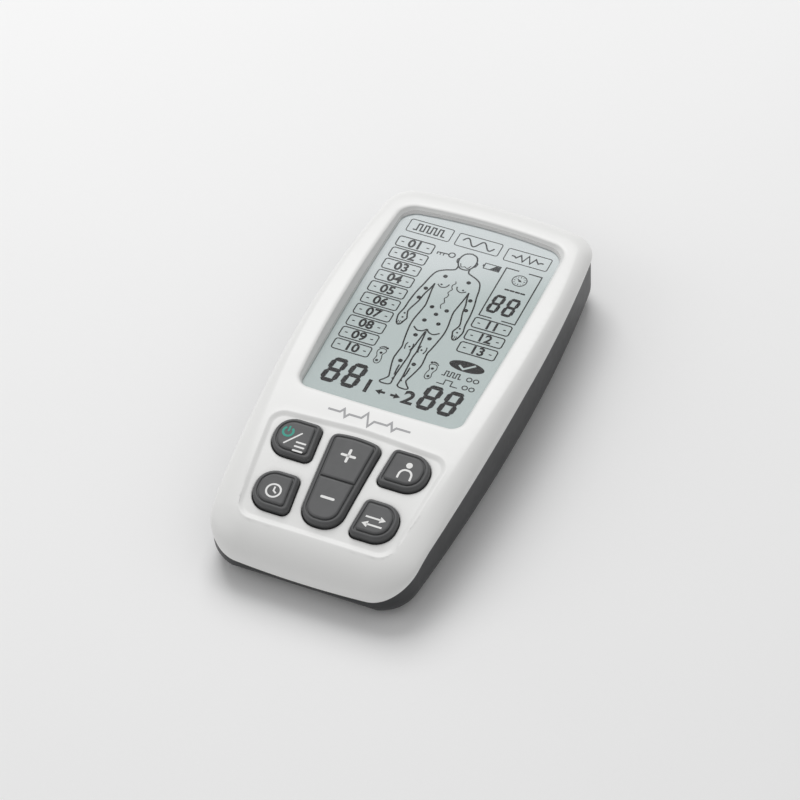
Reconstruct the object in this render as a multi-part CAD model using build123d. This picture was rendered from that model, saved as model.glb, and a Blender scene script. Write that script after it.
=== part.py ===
from build123d import *
import math
import os

# Hand-held two-channel nerve stimulator (TENS unit).
# Frame: X across the unit, Y along it towards the display and output sockets, Z out of the face.
# The origin is the centre of the back, so the unit lies on its back at Z = 0. Millimetres.

# ---- overall shape -------------------------------------------------------------------------
LENGTH = 132.0
HALF_LENGTH = LENGTH / 2
HALF_WIDTH = 32.4
WIDEST_Y = 12.0
THICKNESS = 23.0
FACE_APEX_Y = 4.0
FACE_RADIUS_LOWER = 270.0        # lengthwise arch of the face, keypad side
FACE_RADIUS_UPPER = 600.0        # lengthwise arch of the face, display side
SIDE_RADIUS_LOWER = 600.0
SIDE_RADIUS_UPPER = 430.0
TOP_EDGE_RADIUS = 180.0
BOTTOM_EDGE_RADIUS = 400.0
TOP_CORNER_RADIUS = 9.0
BOTTOM_CORNER_RADIUS = 11.0
SHOULDER_RADIUS = 4.4
NOSE_START_Y = -59.0             # the face rolls down to the lower end from here
NOSE_BOTTOM_Z = 7.0
WALL = 2.0

# ---- joint between the two housings ---------------------------------------------------------
PARTING_TOP_Z = 16.8
PARTING_HIGH_Z = 17.8
PARTING_HIGH_Y = 5.0
PARTING_MID_Y = -22.5
PARTING_MID_Z = 16.75
PARTING_LOW_Y = -50.0
PARTING_LOW_Z = 14.5
PARTING_END_Z = 5.5
REAR_INSET = 0.35                # the rear housing sits just inside the front one
BACK_EDGE_RADIUS = 6.3
TAIL_START_Y = -56.5             # the back lifts towards the lower end from here
TAIL_MID = (-62.9, 1.9)
TAIL_INSET = 0.6

# ---- display ---------------------------------------------------------------------------------
WINDOW_LOW_Y = -16.2
WINDOW_HIGH_Y = 57.6
WINDOW_HALF_WIDTH = 24.4
WINDOW_WIDEST_Y = 28.0
WINDOW_RADIUS_LOWER = 650.0
WINDOW_RADIUS_UPPER = 560.0
WINDOW_CORNER = 3.6
WINDOW_TOP_CORNER = 5.0
WINDOW_TOP_BOW = 1.7             # rise of the window's arched upper edge
WINDOW_RECESS = 0.7              # least depth of the window below the face
WINDOW_THICKNESS = 1.2
WINDOW_GAP = 0.12
PAD_MARGIN = 2.6
LCD_HALF_WIDTH = 25.0
LCD_HIGH_MARGIN = 0.9             # the glass reaches this far past the window
LCD_THICKNESS = 1.8
LCD_GASKET = 0.3
CARRIER_HEIGHT = 1.3
BOARD_THICKNESS = 1.2

# ---- keypad ----------------------------------------------------------------------------------
KEY_PLANE_Y = -41.0
KEY_GAP = 0.3
KEY_RISE = 1.3
KEY_FLANGE_TOP = -2.65
KEY_FLANGE_THICKNESS = 0.7
KEY_FLANGE_WIDTH = 0.9
ROCKER_FLANGE_TOP = -3.05
ROCKER_FLANGE_THICKNESS = 0.6
ROCKER_BEAD_RADIUS = 0.55
DOME_TOP = -4.25
MAT_TOP = -5.2
MAT_THICKNESS = 0.7
KEY_BOARD_THICKNESS = 1.6
PANEL_DEPTH = 0.5                # sunk panel round the keys

# ---- power -----------------------------------------------------------------------------------
CELL_RADIUS = 5.25
CELL_LENGTH = 44.5
CELL_PITCH = 11.2
CELL_Z = 7.3
BAY_HALF_WIDTH = 17.2
BAY_LOW_Y = 5.0
BAY_HIGH_Y = 54.6
BAY_WALL = 1.2
BAY_CEILING_Z = 12.85
CONTACT_THICKNESS = 0.4
DOOR_HALF_WIDTH = 20.0
DOOR_LOW_Y = 2.4
DOOR_HIGH_Y = 56.0
DOOR_BOTTOM_Z = 0.2
DOOR_THICKNESS = 1.5
DOOR_GAP = 0.3
HINGE_Y = 1.7
HINGE_Z = 1.2
HINGE_BEAD_RADIUS = 0.5
HINGE_X = 11.0
HINGE_LENGTH = 6.0

# ---- outputs ---------------------------------------------------------------------------------
SOCKET_X = 11.0
SOCKET_Z = 8.6
SOCKET_RADIUS = 4.2
SOCKET_BORE_RADIUS = 1.8
SOCKET_DEPTH = 7.5
SOCKET_BODY_LENGTH = 8.9
TIP_CONTACT_RADIUS = 0.8

# ---- fasteners -------------------------------------------------------------------------------
CASE_SCREWS = [(19.0, 60.3, 12.0), (-19.0, 60.3, 12.0), (23.9, -50.5, 9.5), (-23.9, -50.5, 9.5)]
CASE_SCREW_HEAD_Z = 5.0
BOARD_SCREWS = [(26.9, 46.0), (-26.9, 46.0), (26.9, -6.0), (-26.9, -6.0)]

BIG = 200.0


# ---- helpers ---------------------------------------------------------------------------------
def face_z(y):
    """Height of the arched face along the centre line."""
    radius = FACE_RADIUS_LOWER if y < FACE_APEX_Y else FACE_RADIUS_UPPER
    return THICKNESS - radius + math.sqrt(radius**2 - (y - FACE_APEX_Y) ** 2)


def along_x(profile, half=BIG / 2):
    """Extrude a profile drawn in (y, z) both ways along X."""
    return extrude(Plane.YZ * profile, amount=half, both=True)


def prism(face, low, high):
    """Upright prism of a plan face between two heights."""
    return extrude(Plane.XY.offset(low) * face, amount=high - low)


def rod(x, y, low, high, radius):
    return Pos(x, y, (low + high) / 2) * Cylinder(radius, high - low)


def block(x0, x1, y0, y1, z0, z1):
    return Pos((x0 + x1) / 2, (y0 + y1) / 2, (z0 + z1) / 2) * Box(x1 - x0, y1 - y0, z1 - z0)


def bowed_side(y, widest, widest_y, lower, upper):
    """Half width at y of a side made of two arcs that meet at its widest point."""
    radius = lower if y < widest_y else upper
    return widest - radius + math.sqrt(radius**2 - (y - widest_y) ** 2)


def bowed_shape(side, widest_y, low, high, top_y, bottom_y):
    """Plan face bowed on every side: low and high are the right-hand corners' heights."""
    left = lambda y: (-side(y), y)
    right = lambda y: (side(y), y)
    low_mid, high_mid = (low + widest_y) / 2, (high + widest_y) / 2
    edges = [
        ThreePointArc(right(low), right(low_mid), right(widest_y)),
        ThreePointArc(right(widest_y), right(high_mid), right(high)),
        ThreePointArc(right(high), (0, top_y), left(high)),
        ThreePointArc(left(high), left(high_mid), left(widest_y)),
        ThreePointArc(left(widest_y), left(low_mid), left(low)),
        ThreePointArc(left(low), (0, bottom_y), right(low)),
    ]
    return make_face(edges)


def round_corners(face, high_radius, low_radius):
    """Round the two upper and the two lower corners of a closed plan shape."""
    by_height = lambda: sorted((v for v in face.vertices() if abs(v.X) > 1), key=lambda v: v.Y)
    face = fillet(by_height()[-2:], high_radius)
    return fillet(by_height()[:2], low_radius)


# ---- plan shapes -----------------------------------------------------------------------------
def outline(inset=0.0):
    """Plan of the housing, widest above the middle and bowed on every side."""
    radii = (SIDE_RADIUS_LOWER - inset, SIDE_RADIUS_UPPER - inset)
    side = lambda y: bowed_side(y, HALF_WIDTH - inset, WIDEST_Y, *radii)
    end = HALF_LENGTH - inset
    high = end - side(end) ** 2 / (2 * TOP_EDGE_RADIUS)
    low = -end + side(-end) ** 2 / (2 * BOTTOM_EDGE_RADIUS)
    face = bowed_shape(side, WIDEST_Y, low, high, end, -end)
    return round_corners(face, TOP_CORNER_RADIUS - inset, BOTTOM_CORNER_RADIUS - inset)


def window_shape(margin=0.0):
    """Plan of the display window: it narrows towards the keypad."""
    radii = (WINDOW_RADIUS_LOWER + margin, WINDOW_RADIUS_UPPER + margin)
    side = lambda y: bowed_side(y, WINDOW_HALF_WIDTH + margin, WINDOW_WIDEST_Y, *radii)
    low, high = WINDOW_LOW_Y - margin, WINDOW_HIGH_Y + margin
    face = bowed_shape(side, WINDOW_WIDEST_Y, low, high - WINDOW_TOP_BOW, high, low - 0.3)
    return round_corners(face, WINDOW_TOP_CORNER + margin, WINDOW_CORNER + margin)


def panel_shape():
    """Sunk panel round the keys: straight tapering sides and an arched upper edge."""
    high, low = (24.8, -26.0), (21.5, -57.5)
    high_left, low_left = (-high[0], high[1]), (-low[0], low[1])
    edges = [
        Line(low, high),
        ThreePointArc(high, (0, -24.6), high_left),
        Line(high_left, low_left),
        ThreePointArc(low_left, (0, -57.8), low),
    ]
    return round_corners(make_face(edges), 4.0, 5.0)


def key_shape(side, inner, outer, low, high, margin=0.0):
    """A key: slanted straight inner side, rounded outer side. side is -1 or +1."""
    slant = 0.45
    plan = [
        (side * (inner + slant), high),
        (side * (inner - slant), low),
        (side * (outer - slant), low),
        (side * outer, high),
    ]
    face = make_face(Polyline(*plan, close=True))
    by_x = sorted(face.vertices(), key=lambda v: abs(v.X))
    face = fillet(by_x[2:], 5.0)
    tips = [v for v in face.vertices() if abs(v.X) < inner + 1]
    face = fillet(tips, 1.7)
    return offset(face, margin) if margin else face


def rocker_shape(margin=0.0):
    """Long level key: arched wide top, tapering to a round lower end."""
    high_x, high_y, low_x, low_y, end_radius = 6.9, 12.8, 5.0, -8.7, 5.0
    edges = [
        Line((low_x, low_y), (high_x, high_y)),
        ThreePointArc((high_x, high_y), (0, high_y + 0.8), (-high_x, high_y)),
        Line((-high_x, high_y), (-low_x, low_y)),
        ThreePointArc((-low_x, low_y), (0, low_y - end_radius), (low_x, low_y)),
    ]
    face = make_face(edges)
    face = fillet([v for v in face.vertices() if v.Y > 0], 1.8)
    return offset(face, margin) if margin else face


# Key plans in the keypad plane, whose origin is on the face at KEY_PLANE_Y:
# name, side, inner x, outer x, lowest y, highest y.
KEYS = {
    "key_power": (-1, 9.6, 21.6, 2.6, 13.7),
    "key_body": (1, 9.6, 21.6, 2.6, 13.7),
    "key_timer": (-1, 8.8, 19.8, -13.5, -2.3),
    "key_channel": (1, 8.8, 19.8, -13.5, -2.3),
}
ROCKER_CENTRE_Y = -0.3


# ---- working planes --------------------------------------------------------------------------
def display_plane():
    """Plane of the top of the LCD, level with the chord of the window and sunk below it."""
    low = face_z(WINDOW_LOW_Y) - WINDOW_RECESS - WINDOW_THICKNESS + LCD_GASKET
    high = face_z(WINDOW_HIGH_Y) - WINDOW_RECESS - WINDOW_THICKNESS + LCD_GASKET
    slope = math.atan2(high - low, WINDOW_HIGH_Y - WINDOW_LOW_Y)
    mid_y = (WINDOW_LOW_Y + WINDOW_HIGH_Y) / 2
    normal = (0, -math.sin(slope), math.cos(slope))
    return Plane(origin=(0, mid_y, (low + high) / 2), x_dir=(1, 0, 0), z_dir=normal)


def keypad_plane():
    """Plane tangent to the face in the middle of the keypad."""
    slope = (FACE_APEX_Y - KEY_PLANE_Y) / FACE_RADIUS_LOWER
    normal = (0, -math.sin(math.asin(slope)), math.cos(math.asin(slope)))
    return Plane(origin=(0, KEY_PLANE_Y, face_z(KEY_PLANE_Y)), x_dir=(1, 0, 0), z_dir=normal)


DISPLAY = display_plane()
KEYPAD = keypad_plane()
KEYPAD_AXIS = Axis(tuple(KEYPAD.origin), tuple(KEYPAD.z_dir))

# Heights along the display's normal of the board that carries the LCD.
MAIN_BOARD_TOP = -LCD_GASKET - LCD_THICKNESS - CARRIER_HEIGHT
MAIN_BOARD_BOTTOM = MAIN_BOARD_TOP - BOARD_THICKNESS


def on_display(face, low, high):
    """Prism of a plan face along the display's normal. Plan y is measured from the window's middle."""
    return extrude(DISPLAY.offset(low) * face, amount=high - low)


def on_keypad(face, low, high):
    return extrude(KEYPAD.offset(low) * face, amount=high - low)


def window_plan(margin=0.0):
    return Pos(0, -DISPLAY.origin.Y) * window_shape(margin)


def display_rect(half_width, low_y, high_y, x=0.0):
    mid = (WINDOW_LOW_Y + WINDOW_HIGH_Y) / 2
    return Pos(x, (low_y + high_y) / 2 - mid) * Rectangle(2 * half_width, high_y - low_y)


# ---- side profiles, drawn in (y, z) ------------------------------------------------------------
def under_face(drop=0.0):
    """Everything below the face, lowered by drop, with the lower end rolled down."""
    point = lambda y: (y, face_z(y) - drop)
    slope = (FACE_APEX_Y - NOSE_START_Y) / FACE_RADIUS_LOWER
    nose_end = (-HALF_LENGTH + drop, NOSE_BOTTOM_Z)
    top = HALF_LENGTH + 10
    edges = [
        ThreePointArc(point(top), point((FACE_APEX_Y + top) / 2), point(FACE_APEX_Y)),
        ThreePointArc(point(FACE_APEX_Y), point((NOSE_START_Y + FACE_APEX_Y) / 2), point(NOSE_START_Y)),
        TangentArc(point(NOSE_START_Y), nose_end, tangent=(-1, -slope)),
        Polyline(nose_end, (nose_end[0], -5), (top, -5), point(top)),
    ]
    return along_x(make_face(edges))


def above_parting(lift=0.0):
    """Everything above the joint between the housings."""
    end = (-HALF_LENGTH - 1, PARTING_END_Z + lift)
    low = (PARTING_LOW_Y, PARTING_LOW_Z + lift)
    high = (PARTING_HIGH_Y, PARTING_HIGH_Z + lift)
    top = (HALF_LENGTH + 5, PARTING_TOP_Z + lift)
    bend_mid = (PARTING_MID_Y, PARTING_MID_Z + lift)
    edges = [
        Line(top, high),
        ThreePointArc(high, bend_mid, low),
        TangentArc(low, end, tangent=(-1, -0.156)),
        Polyline(end, (end[0], BIG), (top[0], BIG), top),
    ]
    return along_x(make_face(edges))


def above_back(lift=0.0):
    """Everything above the back, whose lower end lifts to meet the front housing."""
    top = HALF_LENGTH + 5
    start = (TAIL_START_Y + 2 * lift, lift)
    bend = (TAIL_MID[0] + 1.3 * lift, TAIL_MID[1] + lift)
    end = (-HALF_LENGTH + TAIL_INSET + lift, PARTING_END_Z + lift)
    edges = [
        Polyline((top, lift), start),
        ThreePointArc(start, bend, end),
        Polyline(end, (end[0], BIG), (top, BIG), (top, lift)),
    ]
    return along_x(make_face(edges))


# ---- housings --------------------------------------------------------------------------------
def front_body(inset=0.0):
    """Solid form of the front: outline under the arched face, with a rounded shoulder."""
    body = prism(outline(inset), -1, THICKNESS + 5) & under_arch(inset)
    top_edges = [e for e in body.edges() if e.bounding_box().min.Z > 10]
    body = fillet(top_edges, max(SHOULDER_RADIUS - inset, 1.5))
    return body & under_face(inset)


def under_arch(drop):
    """The arched face alone, without the roll at the lower end."""
    ends = (-HALF_LENGTH - 5, HALF_LENGTH + 5)
    low_mid = (ends[0] + FACE_APEX_Y) / 2
    high_mid = (ends[1] + FACE_APEX_Y) / 2
    point = lambda y: (y, face_z(y) - drop)
    edges = [
        ThreePointArc(point(ends[1]), point(high_mid), point(FACE_APEX_Y)),
        ThreePointArc(point(FACE_APEX_Y), point(low_mid), point(ends[0])),
        Polyline(point(ends[0]), (ends[0], -5), (ends[1], -5), point(ends[1])),
    ]
    return along_x(make_face(edges))


def front_housing():
    outer = front_body() & above_parting()
    cavity = front_body(WALL) & under_arch(WALL)
    shell = outer - (cavity - on_display(window_plan(PAD_MARGIN), 0, 10))
    shell -= on_display(window_plan(), -5, 15)
    shell -= prism(panel_shape(), 0, 40) - under_arch(PANEL_DEPTH)
    for plan in KEYS.values():
        shell -= on_keypad(key_shape(*plan, margin=KEY_GAP), -10, 10)
    shell -= on_keypad(rocker_shape(KEY_GAP), -10, 10)
    inside = front_body(WALL * 0.6) & prism(outline(REAR_INSET + WALL + 0.15), 0, 30)
    for x, y, joint_z in CASE_SCREWS:
        shell += rod(x, y, joint_z, 30, 2.8) & inside
        shell -= rod(x, y, joint_z - 1, joint_z + 5.0, 1.15)
    seat_high = WINDOW_HIGH_Y + LCD_HIGH_MARGIN + 0.15
    glass_seat = display_rect(LCD_HALF_WIDTH + 0.15, WINDOW_LOW_Y - 4.2, seat_high)
    shell -= on_display(glass_seat, -4, 0)
    for x, y in BOARD_SCREWS:
        post = Pos(x, y - DISPLAY.origin.Y) * Circle(1.6)
        shell += on_display(post, MAIN_BOARD_TOP, 6) & inside
        hole = Pos(x, y - DISPLAY.origin.Y) * Circle(0.8)
        shell -= on_display(hole, MAIN_BOARD_TOP - 1, MAIN_BOARD_TOP + 3.2)
    return shell


def hinge_span(side, gap=0.0):
    """The two ends in X of one of the door's hinge beads."""
    half = HINGE_LENGTH / 2 + gap
    return side * HINGE_X - half, side * HINGE_X + half


def rear_housing():
    outer = prism(outline(REAR_INSET), 0, 30)
    outer = fillet(outer.faces().sort_by(Axis.Z)[0].edges(), BACK_EDGE_RADIUS)
    outer = (outer & above_back()) - above_parting()
    inner = prism(outline(REAR_INSET + WALL), WALL, 30)
    inner = fillet(inner.faces().sort_by(Axis.Z)[0].edges(), BACK_EDGE_RADIUS - WALL)
    inner = inner & above_back(WALL)
    shell = outer - inner
    # battery bay: floor pad, four walls and a ceiling
    pad = block(-DOOR_HALF_WIDTH - 2.5, DOOR_HALF_WIDTH + 2.5, -1.0, DOOR_HIGH_Y + 2.5, 0.5, 3.2)
    bay = block(
        -BAY_HALF_WIDTH - BAY_WALL, BAY_HALF_WIDTH + BAY_WALL,
        BAY_LOW_Y - BAY_WALL, BAY_HIGH_Y + BAY_WALL, 1, BAY_CEILING_Z + 1.1,
    )
    shell += pad + bay
    shell -= block(-BAY_HALF_WIDTH, BAY_HALF_WIDTH, BAY_LOW_Y, BAY_HIGH_Y, -1, BAY_CEILING_Z)
    recess_half = DOOR_HALF_WIDTH + DOOR_GAP
    recess_top = DOOR_BOTTOM_Z + DOOR_THICKNESS + 0.1
    recess_ends = (DOOR_LOW_Y - DOOR_GAP, DOOR_HIGH_Y + DOOR_GAP)
    shell -= block(-recess_half, recess_half, *recess_ends, -1, recess_top)
    # relief along the hinge edge, so that the door swings clear
    edge_y = DOOR_LOW_Y - DOOR_GAP
    relief = [(-1.2, 0), (-1.2, -1), (1, -1), (1, 1.2), (0, 1.2)]
    wedge = Polygon(*[(edge_y + y, z) for y, z in relief], align=None)
    shell -= along_x(wedge, DOOR_HALF_WIDTH + DOOR_GAP)
    for side in (-1, 1):
        pocket = Pos(side * HINGE_X, HINGE_Y, HINGE_Z) * Rot(0, 90, 0)
        shell -= pocket * Cylinder(HINGE_BEAD_RADIUS + 0.25, HINGE_LENGTH + 0.6)
        low_x, high_x = hinge_span(side, 0.3)
        shell -= block(low_x, high_x, HINGE_Y - 0.05, DOOR_LOW_Y, -1, HINGE_Z + 0.75)
    # screw bosses with counterbores
    for x, y, joint_z in CASE_SCREWS:
        shell += rod(x, y, 1.5, joint_z, 3.4) & outer
        shell -= rod(x, y, joint_z - 3.0, joint_z + 1, 1.3)
        shell -= rod(x, y, -1, CASE_SCREW_HEAD_Z, 2.3)
        shell -= rod(x, y, CASE_SCREW_HEAD_Z - 0.5, joint_z, 1.3)
    # output socket holes in the upper end
    first_y, last_y = BAY_HIGH_Y + BAY_WALL, HALF_LENGTH + 9
    for side in (-1, 1):
        middle = Pos(side * SOCKET_X, (first_y + last_y) / 2, SOCKET_Z) * Rot(90, 0, 0)
        shell -= middle * Cylinder(SOCKET_RADIUS + 0.05, last_y - first_y)
    return shell


def battery_door():
    top = DOOR_BOTTOM_Z + DOOR_THICKNESS
    plate = block(-DOOR_HALF_WIDTH, DOOR_HALF_WIDTH, DOOR_LOW_Y, DOOR_HIGH_Y, DOOR_BOTTOM_Z, top)
    plate = fillet(plate.edges().filter_by(Axis.Z), 1.5)
    plate = chamfer(plate.faces().sort_by(Axis.Z)[0].edges().sort_by(Axis.Y)[0], 0.7)
    for side in (-1, 1):
        place = Pos(side * HINGE_X, HINGE_Y, HINGE_Z)
        plate += place * Rot(0, 90, 0) * Cylinder(HINGE_BEAD_RADIUS, HINGE_LENGTH)
        low_x, high_x = hinge_span(side)
        plate += block(low_x, high_x, HINGE_Y, DOOR_LOW_Y + 1, HINGE_Z - 0.1, top - 0.05)
    finger_notch = Pos(0, DOOR_HIGH_Y - 7, DOOR_BOTTOM_Z - 4.6) * Sphere(5.6)
    return plate - finger_notch


# ---- display stack ---------------------------------------------------------------------------
def display_window():
    lens = on_display(window_plan(-WINDOW_GAP), -LCD_GASKET, WINDOW_THICKNESS - LCD_GASKET)
    return chamfer(lens.faces().sort_by(Axis.Z)[-1].edges(), 0.2)


def lcd_gasket():
    outer = display_rect(LCD_HALF_WIDTH, WINDOW_LOW_Y - 1.8, WINDOW_HIGH_Y + LCD_HIGH_MARGIN)
    return on_display(outer - window_plan(0.1), -LCD_GASKET, 0)


def lcd_panel():
    """Two glass plates; the rear one is longer and carries the contact ledge."""
    front = display_rect(LCD_HALF_WIDTH, WINDOW_LOW_Y - 1.8, WINDOW_HIGH_Y + LCD_HIGH_MARGIN)
    rear = display_rect(LCD_HALF_WIDTH, WINDOW_LOW_Y - 4.0, WINDOW_HIGH_Y + LCD_HIGH_MARGIN)
    middle = -LCD_GASKET - LCD_THICKNESS / 2
    back = -LCD_GASKET - LCD_THICKNESS
    return on_display(front, middle, -LCD_GASKET) + on_display(rear, back, middle)


def lcd_carrier():
    outer = display_rect(LCD_HALF_WIDTH - 0.6, WINDOW_LOW_Y + 1.0, WINDOW_HIGH_Y + 0.8)
    inner = display_rect(LCD_HALF_WIDTH - 3.4, WINDOW_LOW_Y + 4.0, WINDOW_HIGH_Y - 2.5)
    bar = display_rect(LCD_HALF_WIDTH - 3.0, 19.0, 21.0)
    return on_display(outer - inner + bar, MAIN_BOARD_TOP, MAIN_BOARD_TOP + CARRIER_HEIGHT)


def zebra_strip():
    plan = display_rect(21.0, WINDOW_LOW_Y - 3.4, WINDOW_LOW_Y - 0.4)
    return on_display(plan, MAIN_BOARD_TOP, MAIN_BOARD_TOP + CARRIER_HEIGHT)


def main_board():
    plan = display_rect(28.0, WINDOW_LOW_Y - 4.6, WINDOW_HIGH_Y - 0.4)
    plan = fillet(plan.vertices().group_by(Axis.Y)[-1], 7.0)
    board = on_display(plan, MAIN_BOARD_BOTTOM, MAIN_BOARD_TOP)
    for x, y in BOARD_SCREWS:
        hole = Pos(x, y - DISPLAY.origin.Y) * Circle(0.9)
        board -= on_display(hole, MAIN_BOARD_BOTTOM - 1, MAIN_BOARD_TOP + 1)
    return board


def board_screws():
    """Four small pan-head screws that hold the main board to the front housing."""
    screws = []
    for x, y in BOARD_SCREWS:
        spot = Pos(x, y - DISPLAY.origin.Y)
        head = on_display(spot * Circle(1.5), MAIN_BOARD_BOTTOM - 1.0, MAIN_BOARD_BOTTOM)
        shank = on_display(spot * Circle(0.75), MAIN_BOARD_BOTTOM, MAIN_BOARD_TOP + 2.8)
        screws.append(head + shank)
    return Compound(children=screws)


# ---- keypad ----------------------------------------------------------------------------------
def key_cap(plan, flange_top, flange_thickness):
    """Rubber key: rounded rim, fine groove inside the rim, flange under the housing."""
    body = on_keypad(plan(0.0), flange_top - flange_thickness, KEY_RISE)
    body = fillet(body.faces().sort_by(KEYPAD_AXIS)[-1].edges(), 0.8)
    groove = on_keypad(plan(-1.35) - plan(-1.65), KEY_RISE - 0.25, KEY_RISE + 1)
    flange = on_keypad(plan(KEY_FLANGE_WIDTH), flange_top - flange_thickness, flange_top)
    return body - groove + flange


def push_key(name):
    shape = lambda margin: key_shape(*KEYS[name], margin=margin)
    return key_cap(shape, KEY_FLANGE_TOP, KEY_FLANGE_THICKNESS)


def level_rocker():
    cap = key_cap(rocker_shape, ROCKER_FLANGE_TOP, ROCKER_FLANGE_THICKNESS)
    pivot_z = ROCKER_FLANGE_TOP - ROCKER_FLANGE_THICKNESS
    cap += KEYPAD * Pos(0, ROCKER_CENTRE_Y, pivot_z) * Rot(0, 90, 0) * Cylinder(ROCKER_BEAD_RADIUS, 7)
    divider = Pos(0, ROCKER_CENTRE_Y) * Rectangle(9.0, 0.3)
    return cap - on_keypad(divider, KEY_RISE - 0.25, KEY_RISE + 1)


def key_centres():
    """Where each dome sits in the keypad plane."""
    spots = [(0, 8.0), (0, -9.0)]
    for side, inner, outer, low, high in KEYS.values():
        spots.append((side * (inner + outer) / 2, (low + high) / 2))
    return spots


def keypad_mat():
    sheet = fillet(Rectangle(39.6, 34).vertices(), 3)
    mat = on_keypad(sheet, MAT_TOP - MAT_THICKNESS, MAT_TOP)
    height = DOME_TOP - MAT_TOP
    for x, y in key_centres():
        mat += KEYPAD * Pos(x, y, MAT_TOP + height / 2) * Cone(3.0, 2.0, height)
    pivot = Pos(0, ROCKER_CENTRE_Y) * Rectangle(7, 1.2)
    seat = ROCKER_FLANGE_TOP - ROCKER_FLANGE_THICKNESS - ROCKER_BEAD_RADIUS - 0.1
    mat += on_keypad(pivot, MAT_TOP - 0.1, seat)
    return mat


def key_board():
    plan = fillet(Rectangle(40.6, 35).vertices(), 2)
    top = MAT_TOP - MAT_THICKNESS
    return on_keypad(plan, top - KEY_BOARD_THICKNESS, top)


# ---- electronics -----------------------------------------------------------------------------
def chip(half_x, y0, y1, height, x=0.0, below=True):
    """A part soldered to the underside of the main board."""
    plan = display_rect(half_x, y0, y1, x)
    return on_display(plan, MAIN_BOARD_BOTTOM - height, MAIN_BOARD_BOTTOM)


def microcontroller():
    body = chip(5.0, -14.0, -4.0, 1.4)
    legs = None
    for i in range(8):
        at = -12.9 + i * 1.1
        leg = chip(6.2, at, at + 0.4, 0.5)
        legs = leg if legs is None else legs + leg
    return body + legs


def pulse_transformer(x):
    """Output transformer: ferrite core round a bobbin, hung under the key board."""
    top = MAT_TOP - MAT_THICKNESS - KEY_BOARD_THICKNESS
    core = on_keypad(Pos(x, 3.0) * Rectangle(10.5, 9.0), top - 6.2, top)
    window = on_keypad(Pos(x, 3.0) * Rectangle(6.0, 12.0), top - 4.7, top - 1.5)
    coil = on_keypad(Pos(x, 3.0) * Rectangle(6.0, 11.5), top - 4.7, top - 1.5)
    return core - window + coil


def capacitors():
    """Two radial electrolytic capacitors laid under the main board beside the battery bay."""
    cans = []
    for side in (-1, 1):
        place = Pos(side * 24.2, 22.0, 9.6) * Rot(90, 0, 0)
        cans.append(place * Cylinder(3.15, 12.0))
    return Compound(children=cans)


def buzzer():
    return Pos(0, -28.0, 4.3) * Cylinder(6.0, 4.2) - Pos(0, -28.0, 2.6) * Cylinder(0.9, 3.0)


def board_link():
    """Flat flexible cable between the two boards."""
    main_end = DISPLAY.location * Pos(0, WINDOW_LOW_Y - 2.6 - DISPLAY.origin.Y, MAIN_BOARD_BOTTOM)
    key_end = KEYPAD.location * Pos(0, 14.5, MAT_TOP - MAT_THICKNESS - KEY_BOARD_THICKNESS)
    first, last = main_end.position, key_end.position
    thickness, gap = 0.3, 0.02
    low = min(first.Z, last.Z) - 1.4
    path = [
        (first.Y, first.Z - gap),
        (first.Y, low),
        (last.Y, low),
        (last.Y, last.Z - gap),
        (last.Y - thickness, last.Z - gap - thickness * 0.17),
        (last.Y - thickness, low - thickness),
        (first.Y + thickness, low - thickness),
        (first.Y + thickness, first.Z - gap),
    ]
    return along_x(make_face(Polyline(*path, close=True)), 7.0)


# ---- power -----------------------------------------------------------------------------------
CELL_START_Y = BAY_HIGH_Y - CONTACT_THICKNESS - CELL_LENGTH


def cell(index):
    """AAA cell with its nub. The middle cell points the other way."""
    can = Pos(0, 0, (CELL_LENGTH - 1.0) / 2) * Cylinder(CELL_RADIUS, CELL_LENGTH - 1.0)
    can = fillet(can.edges(), 0.4)
    nub = Pos(0, 0, CELL_LENGTH - 0.6) * Cylinder(1.9, 1.2)
    body = can + nub
    x = (index - 1) * CELL_PITCH
    if index == 1:
        return Pos(x, CELL_START_Y + CELL_LENGTH, CELL_Z) * Rot(90, 0, 0) * body
    return Pos(x, CELL_START_Y, CELL_Z) * Rot(-90, 0, 0) * body


def contact_springs():
    """Conical coil springs pressing on the lower ends of the three cells."""
    springs = []
    free = CELL_START_Y - BAY_LOW_Y - CONTACT_THICKNESS
    for index in range(3):
        x = (index - 1) * CELL_PITCH
        tube = Cylinder(3.4, free) - Cylinder(2.8, free)
        springs.append(Pos(x, BAY_LOW_Y + CONTACT_THICKNESS + free / 2, CELL_Z) * Rot(90, 0, 0) * tube)
    return Compound(children=springs)


def contact_plates():
    """Sheet contacts at both ends of the bay."""
    plates = []
    half = 4.6
    for low_x, high_x, y in (
        (-CELL_PITCH - half, half, BAY_LOW_Y),
        (CELL_PITCH - half, CELL_PITCH + half, BAY_LOW_Y),
        (-CELL_PITCH - half, -CELL_PITCH + half, BAY_HIGH_Y - CONTACT_THICKNESS),
        (-half, CELL_PITCH + half, BAY_HIGH_Y - CONTACT_THICKNESS),
    ):
        plates.append(block(low_x, high_x, y, y + CONTACT_THICKNESS, 3.4, 12.2))
    return Compound(children=plates)


# ---- outputs and screws ------------------------------------------------------------------------
def socket_rod(side, radius, start, end):
    """Cylinder on a socket's axis between two depths below its mouth."""
    x = side * SOCKET_X
    mouth = HALF_LENGTH - x**2 / (2 * TOP_EDGE_RADIUS) - REAR_INSET - 0.25
    place = Pos(x, mouth - (start + end) / 2, SOCKET_Z) * Rot(90, 0, 0)
    return place * Cylinder(radius, end - start)


def output_socket(side):
    """Jack socket for an electrode lead, open at the upper end of the unit."""
    body = socket_rod(side, SOCKET_RADIUS, 0, SOCKET_BODY_LENGTH)
    body = fillet(body.faces().sort_by(Axis.Y)[-1].edges(), 0.4)
    body -= socket_rod(side, SOCKET_BORE_RADIUS, -1, SOCKET_DEPTH)
    return body - socket_rod(side, TIP_CONTACT_RADIUS, 0, SOCKET_BODY_LENGTH + 1)


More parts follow.
